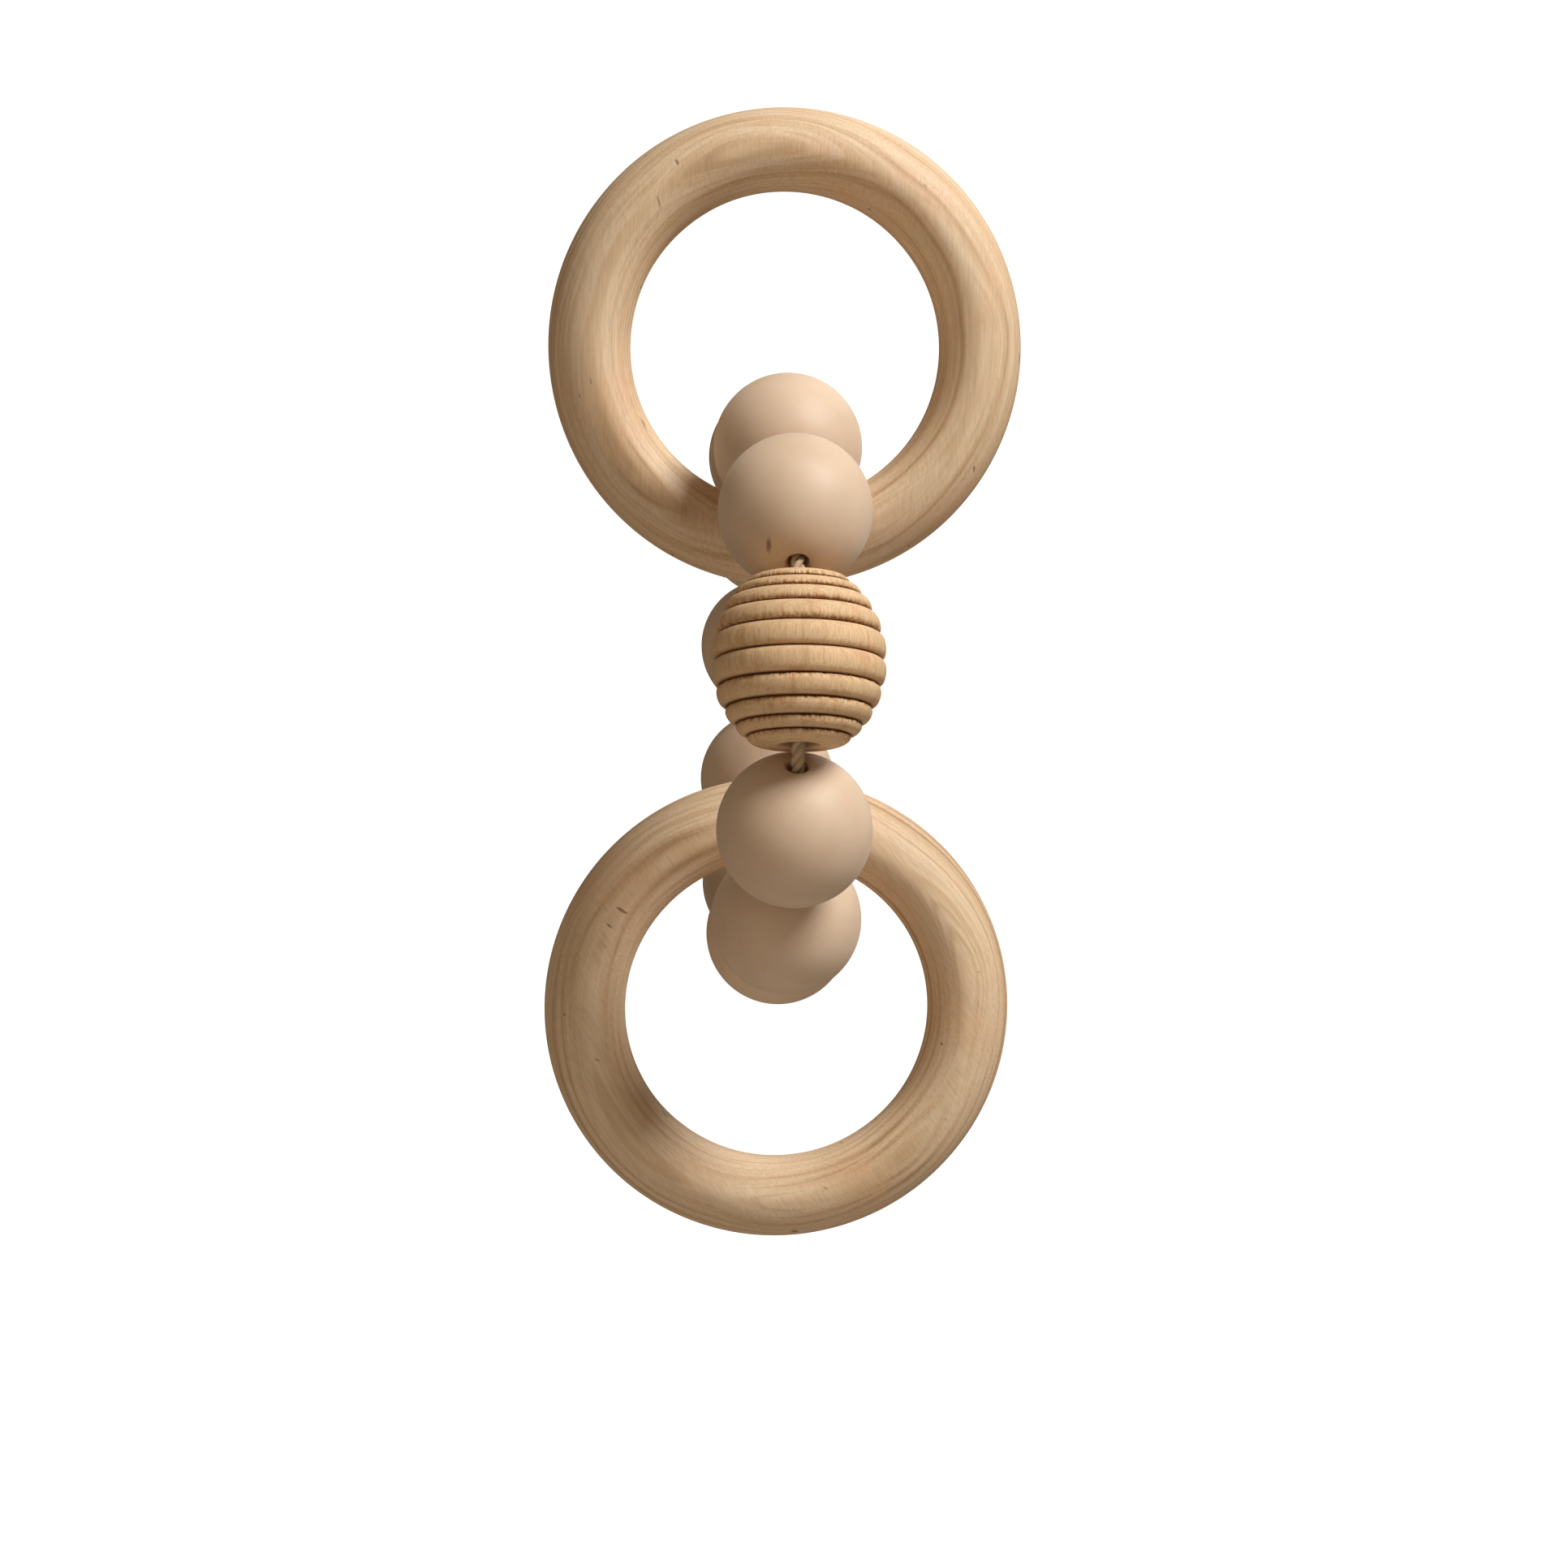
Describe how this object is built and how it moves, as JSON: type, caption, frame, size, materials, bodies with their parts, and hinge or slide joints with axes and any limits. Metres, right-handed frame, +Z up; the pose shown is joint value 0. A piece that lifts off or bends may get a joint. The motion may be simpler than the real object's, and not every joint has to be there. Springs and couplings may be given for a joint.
{
  "type": "baby rattle",
  "caption": "Hand-held teether rattle: two turned wooden rings linked through a closed string of smooth silicone beads and one ribbed wooden bead.",
  "frame": {"origin": "middle of the upper ring's top section, where a hand holds the rattle", "axes": "+X right, +Y away from the viewer, +Z up; the rings lie in XZ planes and the bead string in the YZ plane"},
  "size_m": [0.065, 0.0974, 0.1566],
  "materials": {
    "ring_wood": "bare turned wood, lightly oiled",
    "ribbed_wood": "bare turned wood with fuzzy grooves",
    "silicone": "matte, softly glowing silicone",
    "cord_fibre": "waxed twisted cord"
  },
  "bodies": {
    "upper_ring": {"upper_ring": "ring_wood"},
    "bead_string": {"cord": "cord_fibre", "cord_knot": "cord_fibre"},
    "silicone_bead_01": {"silicone_bead_01": "silicone"},
    "silicone_bead_02": {"silicone_bead_02": "silicone"},
    "ribbed_bead": {"ribbed_bead": "ribbed_wood"},
    "silicone_bead_03": {"silicone_bead_03": "silicone"},
    "silicone_bead_04": {"silicone_bead_04": "silicone"},
    "silicone_bead_05": {"silicone_bead_05": "silicone"},
    "silicone_bead_06": {"silicone_bead_06": "silicone"},
    "silicone_bead_07": {"silicone_bead_07": "silicone"},
    "silicone_bead_08": {"silicone_bead_08": "silicone"},
    "silicone_bead_09": {"silicone_bead_09": "silicone"},
    "silicone_bead_10": {"silicone_bead_10": "silicone"},
    "lower_ring": {"lower_ring": "ring_wood"}
  },
  "joints": [
    {"name": "string_swing", "type": "hinge", "parent": "upper_ring", "child": "bead_string", "pos_m": [0, 0, -0.0537], "axis": [1, 0, 0], "range_deg": [-60, 60]},
    {"name": "silicone_bead_01_spin", "type": "hinge", "parent": "bead_string", "child": "silicone_bead_01", "pos_m": [0, -0.00931, -0.04044], "axis": [0, -0.9833, -0.182], "continuous": true},
    {"name": "silicone_bead_02_spin", "type": "hinge", "parent": "bead_string", "child": "silicone_bead_02", "pos_m": [0, -0.02765, -0.04871], "axis": [0, -0.7519, -0.6592], "continuous": true},
    {"name": "ribbed_bead_spin", "type": "hinge", "parent": "bead_string", "child": "ribbed_bead", "pos_m": [0, -0.03914, -0.06726], "axis": [0, -0.2581, -0.9661], "continuous": true},
    {"name": "silicone_bead_03_spin", "type": "hinge", "parent": "bead_string", "child": "silicone_bead_03", "pos_m": [0, -0.03534, -0.08911], "axis": [0, 0.4754, -0.8798], "continuous": true},
    {"name": "silicone_bead_04_spin", "type": "hinge", "parent": "bead_string", "child": "silicone_bead_04", "pos_m": [0, -0.02065, -0.10286], "axis": [0, 0.8779, -0.4788], "continuous": true},
    {"name": "lower_ring_side_swing", "type": "hinge", "parent": "bead_string", "child": "silicone_bead_05", "pos_m": [0, -0.00114, -0.10776], "axis": [0, 0.9999, -0.0111], "range_deg": [-50, 50]},
    {"name": "silicone_bead_06_spin", "type": "hinge", "parent": "bead_string", "child": "silicone_bead_06", "pos_m": [0, 0.01848, -0.10329], "axis": [0, 0.8845, 0.4666], "continuous": true},
    {"name": "silicone_bead_07_spin", "type": "hinge", "parent": "bead_string", "child": "silicone_bead_07", "pos_m": [0, 0.03325, -0.08963], "axis": [0, 0.4872, 0.8733], "continuous": true},
    {"name": "silicone_bead_08_spin", "type": "hinge", "parent": "bead_string", "child": "silicone_bead_08", "pos_m": [0, 0.03712, -0.06988], "axis": [0, -0.1367, 0.9906], "continuous": true},
    {"name": "silicone_bead_09_spin", "type": "hinge", "parent": "bead_string", "child": "silicone_bead_09", "pos_m": [0, 0.02804, -0.05192], "axis": [0, -0.6816, 0.7317], "continuous": true},
    {"name": "silicone_bead_10_spin", "type": "hinge", "parent": "bead_string", "child": "silicone_bead_10", "pos_m": [0, 0.01077, -0.0416], "axis": [0, -0.9559, 0.2938], "continuous": true},
    {"name": "lower_ring_flap", "type": "hinge", "parent": "silicone_bead_05", "child": "lower_ring", "pos_m": [0, -0.00114, -0.09156], "axis": [1, 0, 0], "range_deg": [-60, 60]}
  ]
}
